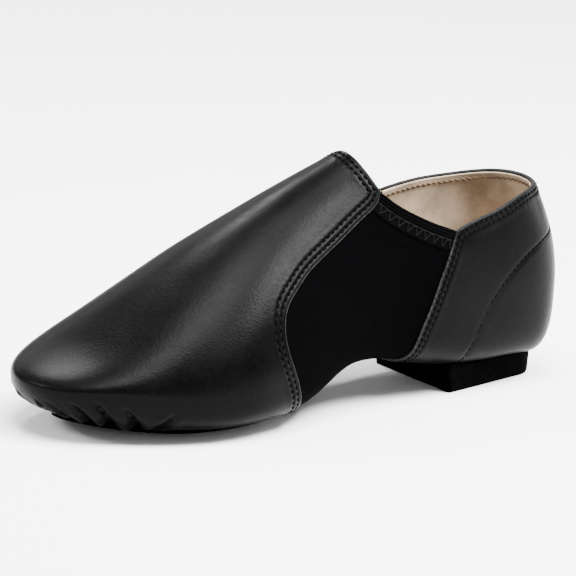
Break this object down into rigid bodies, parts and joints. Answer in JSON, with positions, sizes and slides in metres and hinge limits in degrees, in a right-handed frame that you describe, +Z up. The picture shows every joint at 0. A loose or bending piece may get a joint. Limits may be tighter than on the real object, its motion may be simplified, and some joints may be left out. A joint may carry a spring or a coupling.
{
  "type": "jazz shoe",
  "caption": "Slip-on jazz shoe for the left foot: long smooth vamp, stretch side panels with a bound top, leather heel quarter, low heel block and a separate forefoot sole.",
  "frame": {"origin": "on the floor, under the middle of the shoe's box", "axes": "+X from heel to toe, +Y to the outer side of the left foot, +Z up"},
  "size_m": [0.25, 0.0892, 0.0996],
  "materials": {
    "black_leather": "smooth fine grain with a soft sheen",
    "stretch_cloth": "matte stretch weave",
    "elastic": "ribbed elastic braid",
    "tan_lining": "soft matte pigskin",
    "foam_rubber": "matte fine-pored foam"
  },
  "bodies": {
    "root": {"upper": "stretch_cloth", "vamp": "black_leather", "quarter": "black_leather", "gore_binding_outer": "elastic", "gore_binding_inner": "elastic", "insole": "tan_lining", "forefoot_sole": "foam_rubber", "heel_block": "foam_rubber"}
  },
  "joints": []
}
